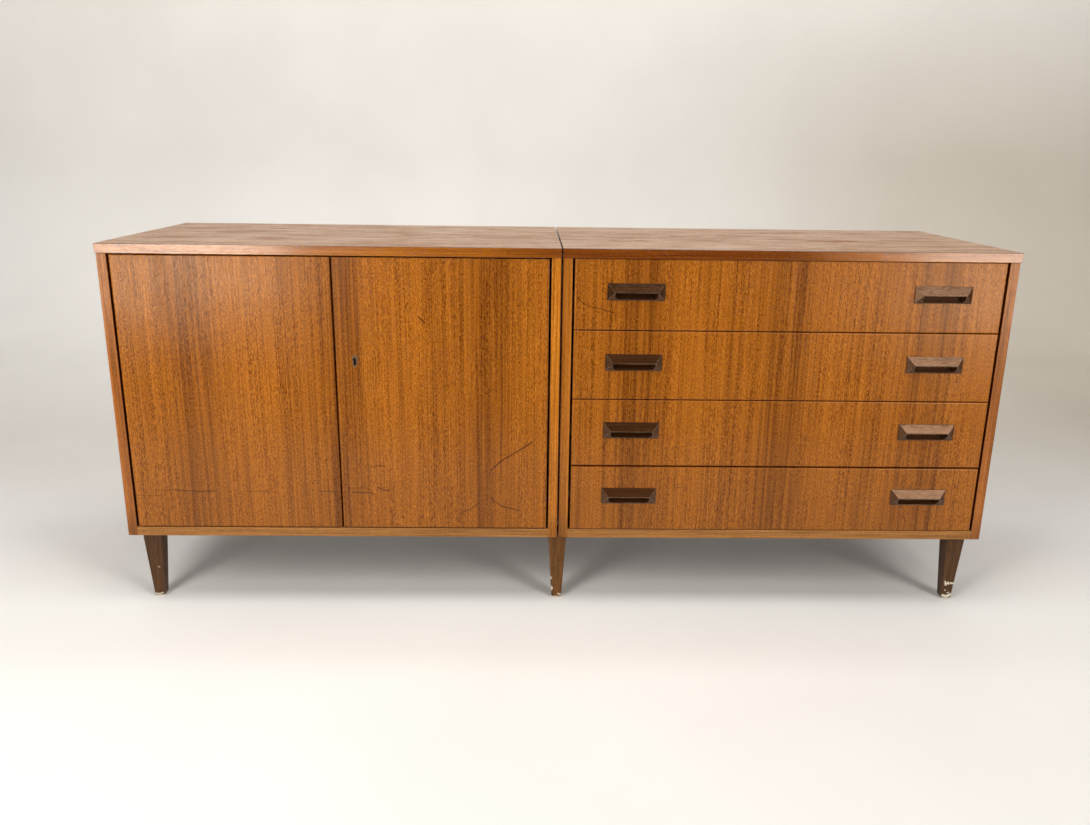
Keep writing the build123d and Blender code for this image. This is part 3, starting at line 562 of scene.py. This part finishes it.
beechWood = {
    **without(frontTeak, "gap"), "leaf": False, "grain": "Y", "dark": rgb(0.42, 0.25, 0.12),
    "pale": rgb(0.62, 0.42, 0.24), "flush": rgb(0.54, 0.34, 0.19), "poreAndSeamShadeColour": rgb(0.3, 0.16, 0.07),
    "poreDepth": 0.35, "wearAndHighlight": 0.2, "shine": 0.3, "rough": (0.5, 0.62),
}
boxWoodAcross = {**beechWood, "grain": "X"}
plyWood = {
    **beechWood, "grain": "X", "lines": 170.0, "weights": {"Dash": 0.2, "Line": 0.35, "Streak": 0.45},
    "dark": rgb(0.27, 0.14, 0.06), "pale": rgb(0.56, 0.36, 0.19), "flush": rgb(0.42, 0.24, 0.12),
}
woodLooks = {
    "teakDoor": doorTeak, "teakDrawer": drawerTeak, "teakInnerSide": innerSideTeak,
    "teakRightInner": rightInnerTeak, "teakOuterSide": outerSideTeak, "teakBottom": bottomTeak,
    "teakInside": innerTeak, "leftTop": topTeak, "rightTop": rightTopTeak, "legWood": legWood,
    "pullWood": pullWood, "boxWood": beechWood, "boxWoodAcross": boxWoodAcross, "plyWood": plyWood,
}

# Dull metals: clouds of tarnish, a fine grain, edges rubbed to another tone
metalWork = {
    "clouds": (45.0, 5.0, 0.65), "cloudLimits": (0.35, 0.65), "grain": (900.0, 2.0), "bump": 0.12,
    "bumpDistance": 0.0002, "edgeBand": {"Radius": 0.0006, "Turn": 0.16, "Amount": 0.6},
}
metalLooks = {
    "steel": {"bright": rgb(0.5, 0.49, 0.47), "dull": rgb(0.32, 0.31, 0.3),
              "edge": rgb(0.65, 0.64, 0.62), "rough": (0.3, 0.5)},
    "darkPlate": {"bright": rgb(0.12, 0.11, 0.1), "dull": rgb(0.05, 0.046, 0.042),
                  "edge": rgb(0.25, 0.23, 0.21), "rough": (0.4, 0.6)},
    "agedBrass": {"bright": rgb(0.24, 0.155, 0.095), "dull": rgb(0.11, 0.068, 0.04),
                  "edge": rgb(0.05, 0.03, 0.02), "rough": (0.32, 0.5)},
}


def makeMetal(name, look):
    material, tree, shader, seat = newMaterial(name)
    spot = seat["Object"]
    dull = spread(tree, noise(tree, spot, *metalWork["clouds"]), *metalWork["cloudLimits"])
    tone = mixColor(tree, dull, look["bright"], look["dull"])
    edgeBand = useGroup(tree, edgeMaskGroup, {"Vector": spot, **metalWork["edgeBand"]})
    tree.links.new(mixColor(tree, edgeBand["Mask"], tone, look["edge"]), shader.inputs["Base Color"])
    shader.inputs["Metallic"].default_value = 1.0
    tree.links.new(spread(tree, dull, 0.0, 1.0, *look["rough"]), shader.inputs["Roughness"])
    fine = noise(tree, spot, *metalWork["grain"])
    addBump(tree, shader, metalWork["bump"], metalWork["bumpDistance"], fine)
    return material


glideLook = {
    "clouds": (140.0, 4.0), "cloudLimits": (0.35, 0.65), "pale": rgb(0.68, 0.6, 0.48),
    "dark": rgb(0.5, 0.42, 0.32), "rough": (0.45, 0.65), "bump": 0.2, "bumpDistance": 0.0003,
}


def makeGlidePlastic(name, look):
    material, tree, shader, seat = newMaterial(name)
    cloud = spread(tree, noise(tree, seat["Object"], *look["clouds"]), *look["cloudLimits"])
    tree.links.new(mixColor(tree, cloud, look["pale"], look["dark"]), shader.inputs["Base Color"])
    tree.links.new(spread(tree, cloud, 0.0, 1.0, *look["rough"]), shader.inputs["Roughness"])
    addBump(tree, shader, look["bump"], look["bumpDistance"], cloud)
    return material


finishes = {name: makeWood(name, look) for name, look in woodLooks.items()}
finishes.update({name: makeMetal(name, look) for name, look in metalLooks.items()})
finishes["glidePlastic"] = makeGlidePlastic("glidePlastic", glideLook)
print("materials ready:", len(finishes))

# Which finish each CAD node wears: the first ending that its name has, and steel where none fits
finishByEnding = {
    "left_top": "leftTop", "right_top": "rightTop", "_leg": "legWood", "_pulls": "pullWood",
    "left_door": "teakDoor", "right_door": "teakDoor", "_front": "teakDrawer",
    "_outer_side": "teakOuterSide", "left_inner_side": "teakInnerSide", "right_inner_side": "teakRightInner",
    "shelf_cleats": "teakInnerSide", "_side": "boxWood",
    "carcass_tongues": "boxWood", "drawer_runners": "boxWood",
    "left_back": "plyWood", "right_back": "plyWood", "_back": "boxWoodAcross",
    "left_bottom": "teakBottom", "right_bottom": "teakBottom", "_bottom": "plyWood",
    "shelf": "teakInside", "door_stops": "teakInside", "foot_glides": "glidePlastic",
    "lock_strike": "agedBrass", "keyhole_escutcheon": "agedBrass",
    "leg_plates": "darkPlate", "hinge_pivots": "darkPlate",
}


def finishOf(name):
    return next((finish for ending, finish in finishByEnding.items() if name.endswith(ending)), "steel")


for name, piece in nodes.items():
    piece.data.materials.clear()
    piece.data.materials.append(finishes[finishOf(name)])
print("finishes on all nodes")

# Softened copies of the pulls: the solid's points merged, its flat faces joined again, every edge rounded
pullEase = {"width": 0.0006, "segments": 2, "angle": 18.0, "flat": 1.0, "digits": 6}


def mergedMesh(name, source):
    points = np.empty(len(source.vertices) * 3)
    source.vertices.foreach_get("co", points)
    corners = np.empty(len(source.loops), dtype=np.int64)
    source.loops.foreach_get("vertex_index", corners)
    rounded = np.round(points.reshape(-1, 3), pullEase["digits"])
    merged, index = np.unique(rounded, axis=0, return_inverse=True)
    faces = index.ravel()[corners].reshape(-1, 3)
    whole = (faces[:, 0] != faces[:, 1]) & (faces[:, 1] != faces[:, 2]) & (faces[:, 2] != faces[:, 0])
    mesh = bpy.data.meshes.new(name)
    mesh.from_pydata(merged.tolist(), [], faces[whole].tolist())
    return mesh


def addPiece(name, mesh, finish, body):
    piece = bpy.data.objects.new(name, mesh)
    bpy.context.collection.objects.link(piece)
    mesh.materials.append(finishes[finish])
    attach(piece, body)
    return piece


def makeSoftPulls(drawer):
    name = f"soft_pulls_{drawer}"
    node = f"drawer_{drawer}_pulls"
    mesh = mergedMesh(name, nodes[node].data)
    piece = addPiece(name, mesh, "pullWood", f"drawer_{drawer}")
    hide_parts(node)
    joined = piece.modifiers.new("flatFaces", "DECIMATE")
    joined.decimate_type = "DISSOLVE"
    joined.angle_limit = math.radians(pullEase["flat"])
    eased = piece.modifiers.new("easedEdges", "BEVEL")
    eased.width = pullEase["width"]
    eased.segments = pullEase["segments"]
    eased.limit_method = "ANGLE"
    eased.angle_limit = math.radians(pullEase["angle"])
    eased.harden_normals = True
    piece.data.shade_smooth()


for drawer in range(1, 5):
    makeSoftPulls(drawer)
print("pulls softened")


# A slotted screw head facing +Z: a thin disc, sunk a little, and on it two halves of a low dome whose height
# is disc + rise * (1 - r^2 / radius^2), each a grid from the slot to just inside the rim
headGrid = {"disc": 0.00012, "sunk": 0.0002, "rows": 5, "columns": 9, "sides": 24, "rim": 0.98}


def screwHead(radius, rise, slot):
    disc, sunk, sides = headGrid["disc"], headGrid["sunk"], headGrid["sides"]
    rows, columns = headGrid["rows"], headGrid["columns"]
    across = np.linspace(slot / 2, radius * headGrid["rim"], rows)[:, None]
    side = np.linspace(-1.0, 1.0, columns)[None, :] * np.sqrt(radius ** 2 - across ** 2)
    height = disc + rise * np.maximum(0.0, 1.0 - (across ** 2 + side ** 2) / radius ** 2)
    flat = np.stack([across + 0.0 * side, side, 0.0 * side], -1)
    top = flat + height[..., None] * np.array([0.0, 0.0, 1.0])
    points = [np.concatenate([top.reshape(-1, 3), flat.reshape(-1, 3)])]
    points.append(points[0] * np.array([-1.0, -1.0, 1.0]))
    index = np.arange(rows * columns).reshape(rows, columns)
    quads = np.stack([index[:-1, :-1], index[1:, :-1], index[1:, 1:], index[:-1, 1:]], -1).reshape(-1, 4)
    rim = np.concatenate([index[:-1, 0], index[-1, :-1], index[:0:-1, -1], index[0, :0:-1]])
    after = np.roll(rim, -1)
    under = rows * columns
    half = quads.tolist() + (quads[:, ::-1] + under).tolist()
    half += np.stack([rim, rim + under, after + under, after], -1).tolist()
    faces = half + [[corner + 2 * under for corner in face] for face in half]
    turn = np.arange(sides) * 2.0 * math.pi / sides
    ring = np.stack([radius * np.cos(turn), radius * np.sin(turn), 0.0 * turn], -1)
    points += [ring + (0.0, 0.0, disc), ring - (0.0, 0.0, sunk)]
    first = 4 * under
    high, low = np.arange(sides) + first, np.arange(sides) + first + sides
    faces += [high.tolist(), low[::-1].tolist()]
    faces += np.stack([high, low, np.roll(low, -1), np.roll(high, -1)], -1).tolist()
    return np.concatenate(points), faces


# Separate pieces within one node, as boxes, split where no point lies for the given distance along an axis
def pieceBoxes(points, distance):
    for axis in range(3):
        ordered = points[np.argsort(points[:, axis])]
        cuts = np.nonzero(np.diff(ordered[:, axis]) > distance)[0] + 1
        if len(cuts):
            return [box for group in np.split(ordered, cuts) for box in pieceBoxes(group, distance)]
    return [(points.min(0), points.max(0))]


def nodeBoxes(name, distance):
    points = np.array([corner.co for corner in nodes[name].data.vertices])
    return pieceBoxes(points, distance)


# Screws of a body: every spot is a place on the surface, the way it faces and the head's size, which is its
# radius, its rise and its slot's width
headSizes = {
    "wood": (0.0036, 0.0006, 0.001), "plate": (0.003, 0.0004, 0.0009), "small": (0.0014, 0.0003, 0.0005),
}
headTurns = {
    (0, 0, 1): np.eye(3),
    (0, 0, -1): np.diag([1.0, -1.0, -1.0]),
    (0, 1, 0): np.array([[1.0, 0.0, 0.0], [0.0, 0.0, 1.0], [0.0, -1.0, 0.0]]),
    (1, 0, 0): np.array([[0.0, 0.0, 1.0], [0.0, 1.0, 0.0], [-1.0, 0.0, 0.0]]),
    (-1, 0, 0): np.array([[0.0, 0.0, -1.0], [0.0, 1.0, 0.0], [1.0, 0.0, 0.0]]),
}
slotTurn = 2.4  # radians from one screw's slot to the next
headCrease = 35.0


def addScrews(name, body, spots):
    points, faces, count = [], [], 0
    for index, (at, way, size) in enumerate(spots):
        head, sides = screwHead(*headSizes[size])
        c, s = math.cos(slotTurn * index), math.sin(slotTurn * index)
        spun = head @ np.array([[c, s, 0.0], [-s, c, 0.0], [0.0, 0.0, 1.0]])
        points.append(spun @ headTurns[way].T + np.array(at))
        faces += [[corner + count for corner in face] for face in sides]
        count += len(head)
    mesh = bpy.data.meshes.new(name)
    mesh.from_pydata(np.concatenate(points).tolist(), [], faces)
    mesh.shade_smooth()
    mesh.set_sharp_from_angle(angle=math.radians(headCrease))
    addPiece(name, mesh, "steel", body)


# Places of the screws: shares of a piece's size, and distances in metres from its middle or its end
screwSpots = {
    "plateCorner": (0.77, 0.61), "hinge": (0.022, 0.036), "guide": (0.0073, 0.012), "guidePlate": 0.0015,
    "strike": 0.013, "lockEdge": 0.033, "lockAlong": (0.009, 0.042), "lockUp": 0.022,
    "cleat": (0.12, 0.5, 0.88), "stop": (0.2, 0.8), "apart": 0.12, "cleatsApart": 0.5,
}
bothWays = (-1, 1)
doorMiddle = (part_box("left_door")[0][0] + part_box("right_door")[1][0]) / 2


def legPlateScrews():
    spots = []
    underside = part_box("left_bottom")[0][2]
    for low, high in nodeBoxes("leg_plates", screwSpots["apart"]):
        middle, half = (low + high) / 2, (high - low) / 2
        share = screwSpots["plateCorner"]
        if half[0] <= half[1]:
            share = share[::-1]
        for sx in bothWays:
            for sy in bothWays:
                at = (middle[0] + sx * share[0] * half[0], middle[1] + sy * share[1] * half[1], underside)
                spots.append((at, (0, 0, -1), "wood"))
    return spots


# The lower plates' screws face the given way along Z, the upper ones' the other way
def hingeScrews(node, lowerFace, upperFace, way):
    spots = []
    for low, high in nodeBoxes(node, screwSpots["apart"]):
        isLow = high[2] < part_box("shelf")[0][2]
        away = 1 if low[0] < doorMiddle else -1
        pinEnd = low[0] if away > 0 else high[0]
        for reach in screwSpots["hinge"]:
            at = (pinEnd + away * reach, (low[1] + high[1]) / 2, lowerFace if isLow else upperFace)
            spots.append((at, (0, 0, way if isLow else -way), "plate"))
    return spots


def guideScrews():
    spots = []
    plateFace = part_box("left_door")[1][1] + screwSpots["guidePlate"]
    aside, up = screwSpots["guide"]
    for low, high in nodeBoxes("bolt_guides", screwSpots["apart"]):
        middle = (low + high) / 2
        for sx in bothWays:
            for sz in bothWays:
                at = (middle[0] + sx * aside, plateFace, middle[2] + sz * up)
                spots.append((at, (0, 1, 0), "small"))
    return spots


def strikeScrews():
    low, high = map(np.array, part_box("lock_strike"))
    middle = (low + high) / 2
    heights = [middle[2] + sz * screwSpots["strike"] for sz in bothWays]
    return [((high[0], middle[1], height), (1, 0, 0), "plate") for height in heights]


def lockScrews():
    spots = []
    low, high = map(np.array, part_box("lock_case"))
    middle = (low + high) / 2
    for sz in bothWays:
        spots.append(((low[0], middle[1], middle[2] + sz * screwSpots["lockEdge"]), (-1, 0, 0), "plate"))
        for along in screwSpots["lockAlong"]:
            at = (low[0] + along, high[1], middle[2] + sz * screwSpots["lockUp"])
            spots.append((at, (0, 1, 0), "plate"))
    return spots


def cleatScrews():
    spots = []
    for low, high in nodeBoxes("shelf_cleats", screwSpots["cleatsApart"]):
        inward = 1 if low[0] < doorMiddle else -1
        innerFace = high[0] if inward > 0 else low[0]
        for share in screwSpots["cleat"]:
            at = (innerFace, low[1] + share * (high[1] - low[1]), (low[2] + high[2]) / 2)
            spots.append((at, (inward, 0, 0), "wood"))
    return spots


def stopScrews():
    spots = []
    for low, high in nodeBoxes("door_stops", screwSpots["apart"]):
        for share in screwSpots["stop"]:
            at = (low[0] + share * (high[0] - low[0]), (low[1] + high[1]) / 2, low[2])
            spots.append((at, (0, 0, -1), "plate"))
    return spots


def doorHinges(door):
    low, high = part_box(door)
    return hingeScrews(f"{door}_sockets", low[2], high[2], -1)


carcassHinges = hingeScrews("hinge_pivots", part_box("left_bottom")[1][2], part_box("left_top")[0][2], 1)
screws = {
    "carcass": legPlateScrews() + carcassHinges + cleatScrews() + stopScrews(),
    "left_door": doorHinges("left_door") + guideScrews() + strikeScrews(),
    "right_door": doorHinges("right_door") + lockScrews(),
}
for body, spots in screws.items():
    addScrews(f"{body}_screws", body, spots)
print("screws:", *[len(spots) for spots in screws.values()])

# Floor that sweeps up into a wall: straight, a quarter circle, straight. Its painted shade and light change
# with the distance behind the front and with the height, and far off, for the camera, it glows in the sky's
# tone as painted light
skyTone = rgb(1.0, 0.98, 0.95)
skySeen = 0.8
skyLight = 0.1
sweep = {
    "front": -12.0, "bend": 2.2, "radius": 0.9, "height": 10.0, "halfWidth": 16.0, "steps": 24,
    "floor": rgb(0.9, 0.895, 0.87), "rough": 0.7,
    "tones": (
        ("Y", (-0.3, 0.1), rgb(0.8, 0.79, 0.78)),  # painted shade under the object
        ("Y", (0.2, 0.7), rgb(0.77, 0.75, 0.72)),  # painted shade behind it
        ("Y", (1.0, 2.3), rgb(0.97, 0.95, 0.92)),  # painted light towards the bend
        ("Z", (0.4, 1.7), rgb(0.94, 0.91, 0.87)),  # painted light up the wall
    ),
    # Painted shade, darker and warmer, behind the object on the right
    "rightTone": {"colour": rgb(0.86, 0.81, 0.73), "X": (0.3, 2.4), "Y": (0.2, 1.2), "Z": (0.6, 2.0)},
    "rightShade": {"share": 0.84, "X": (-2.2, 2.6), "Z": (0.8, 2.6)},
    "clouds": (1.3, 4.0), "cloudLimits": (0.3, 0.7), "cloudShare": (0.97, 1.03),
    "beyond": rgb(0.08, 0.08, 0.08), "beyondFrom": (-1.7, -1.1), "thrownBack": 0.6,
    "sideEnds": (3.6, 6.5), "frontEnd": (-3.1, -2.1),
}


def sweepMesh():
    angle = np.linspace(0.0, math.pi / 2, sweep["steps"])
    wall = sweep["bend"] + sweep["radius"]
    y = np.concatenate([[sweep["front"]], sweep["bend"] + sweep["radius"] * np.sin(angle), [wall]])
    z = np.concatenate([[0.0], sweep["radius"] * (1.0 - np.cos(angle)), [sweep["height"]]])
    x = np.array([-sweep["halfWidth"], sweep["halfWidth"]])
    points = np.stack(np.broadcast_arrays(x[None, :], y[:, None], z[:, None]), -1)
    first = np.arange(len(y) - 1) * 2
    faces = np.stack([first, first + 1, first + 3, first + 2], -1)
    mesh = bpy.data.meshes.new("sweep")
    mesh.from_pydata(points.reshape(-1, 3).tolist(), [], faces.tolist())
    mesh.shade_smooth()
    return mesh


# The floor's and wall's tone with its painted shade and light, and a painted shade, darker and warmer,
# behind the object on the right
def sweepTone(tree, here):
    tone = sweep["floor"]
    for axis, limits, colour in sweep["tones"]:
        tone = mixColor(tree, spread(tree, here[axis], *limits), tone, colour)
    right = sweep["rightTone"]
    mask = times(tree, spread(tree, here["X"], *right["X"]), spread(tree, here["Y"], *right["Y"]))
    mask = times(tree, mask, fade(tree, here["Z"], *right["Z"]))
    return mixColor(tree, mask, tone, right["colour"], "MULTIPLY")


# Off the camera's rays, the floor in front is dark and all of it throws back less light
def makeSweepPaint():
    material, tree, shader, seat = newMaterial("paintedSweep")
    here = parts(tree, seat["Object"])
    path = addNode(tree, "ShaderNodeLightPath").outputs
    tone = sweepTone(tree, here)
    shade = sweep["rightShade"]
    light = spread(tree, here["X"], *shade["X"], 1.0, shade["share"])
    high = spread(tree, here["Z"], *shade["Z"])
    light = addNode(tree, "ShaderNodeMix", {"Factor": high, "A": light, "B": 1.0}).outputs[0]
    cloud = noise(tree, seat["Object"], *sweep["clouds"])
    light = times(tree, light, spread(tree, cloud, *sweep["cloudLimits"], *sweep["cloudShare"]))
    unseen = doMath(tree, "SUBTRACT", 1.0, path["Is Camera Ray"])
    mask = times(tree, fade(tree, here["Y"], *sweep["beyondFrom"]), unseen)
    tone = mixColor(tree, mask, tone, sweep["beyond"])
    seen = doMath(tree, "MAXIMUM", path["Is Camera Ray"], path["Is Glossy Ray"])
    seen = doMath(tree, "MAXIMUM", seen, path["Is Transmission Ray"])
    light = times(tree, light, spread(tree, seen, 0.0, 1.0, sweep["thrownBack"], 1.0))
    # For the camera, the far ends glow in the sky's tone: painted light
    away = spread(tree, doMath(tree, "ABSOLUTE", here["X"]), *sweep["sideEnds"])
    away = doMath(tree, "MAXIMUM", away, fade(tree, here["Y"], *sweep["frontEnd"]))
    away = times(tree, away, path["Is Camera Ray"])
    light = times(tree, light, doMath(tree, "SUBTRACT", 1.0, away))
    tree.links.new(scaled(tree, tone, light), shader.inputs["Base Color"])
    glow = mixColor(tree, away, rgb(0.0, 0.0, 0.0), skyTone)
    tree.links.new(glow, shader.inputs["Emission Color"])
    shader.inputs["Emission Strength"].default_value = skySeen
    shader.inputs["Roughness"].default_value = sweep["rough"]
    return material


def makeSweep():
    mesh = sweepMesh()
    mesh.materials.append(makeSweepPaint())
    piece = bpy.data.objects.new("sweep", mesh)
    bpy.context.collection.objects.link(piece)


makeSweep()

# Two tall soft windows at the front corners, a wash over the wall and a weak lamp overhead
lampTone = (1.0, 0.97, 0.93)
lamps = {
    "leftWindow": {"at": (-1.5, -2.3, 1.63), "to": (-0.4, -0.25, 1.63), "size": (0.85, 2.76), "watts": 60.0},
    "rightWindow": {"at": (2.4, -2.9, 2.32), "to": (0.45, -0.25, 2.32), "size": (1.1, 4.6), "watts": 104.0},
    "wallWash": {"at": (-0.4, 0.8, 3.9), "to": (-0.4, 3.1, 1.8), "size": (15.0, 1.0), "watts": 130.0},
    "overhead": {"at": (0.0, -0.85, 3.6), "to": (0.0, -0.7, 0.0), "size": (3.0, 1.4), "watts": 64.0},
}


def placed(right, up, back, at):
    turn = np.eye(4)
    turn[:3, 0], turn[:3, 1], turn[:3, 2], turn[:3, 3] = right, up, back, at
    return Matrix(turn.tolist())


def aimed(at, to):
    forward = np.array(to) - np.array(at)
    forward = forward / np.linalg.norm(forward)
    right = np.cross(forward, (0.0, 0.0, 1.0))
    right = right / np.linalg.norm(right)
    return placed(right, np.cross(right, forward), -forward, at)


for name, lamp in lamps.items():
    light = bpy.data.lights.new(name, "AREA")
    light.shape = "RECTANGLE"
    light.size, light.size_y = lamp["size"]
    light.energy = lamp["watts"]
    light.color = lampTone
    holder = bpy.data.objects.new(name, light)
    holder.matrix_world = aimed(lamp["at"], lamp["to"])
    bpy.context.collection.objects.link(holder)

world = bpy.data.worlds.new("studio")
bpy.context.scene.world = world
world.use_nodes = True
sky = world.node_tree
seenSky = addNode(sky, "ShaderNodeLightPath").outputs["Is Camera Ray"]
sky.nodes["Background"].inputs["Color"].default_value = skyTone
sky.links.new(spread(sky, seenSky, 0.0, 1.0, skyLight, skySeen), sky.nodes["Background"].inputs["Strength"])
print("stage and lamps ready")

# Camera: turned left by yaw, down by pitch, then rolled, as read from the vanishing lines
view = {"at": (-0.06613, -2.0658, 0.94565), "yaw": -0.0198, "pitch": 0.2768, "roll": -0.0131,
        "focal": 929.62, "frameWidth": 1090.0, "sensor": 36.0}


def makeCamera():
    cy, sy = math.cos(view["yaw"]), math.sin(view["yaw"])
    cp, sp = math.cos(view["pitch"]), math.sin(view["pitch"])
    cr, sr = math.cos(view["roll"]), math.sin(view["roll"])
    yaw = np.array([[cy, -sy, 0.0], [sy, cy, 0.0], [0.0, 0.0, 1.0]])
    pitch = np.array([[1.0, 0.0, 0.0], [0.0, cp, sp], [0.0, -sp, cp]])
    roll = np.array([[cr, 0.0, sr], [0.0, 1.0, 0.0], [-sr, 0.0, cr]])
    turn = yaw @ pitch @ roll
    lens = bpy.data.cameras.new("camera")
    lens.sensor_width = view["sensor"]
    lens.lens = view["focal"] * view["sensor"] / view["frameWidth"]
    camera = bpy.data.objects.new("camera", lens)
    camera.matrix_world = placed(turn[:, 0], turn[:, 2], -turn[:, 1], view["at"])
    bpy.context.collection.objects.link(camera)
    bpy.context.scene.camera = camera


makeCamera()
bpy.context.scene.view_settings.view_transform = "Standard"

print("scene finished")
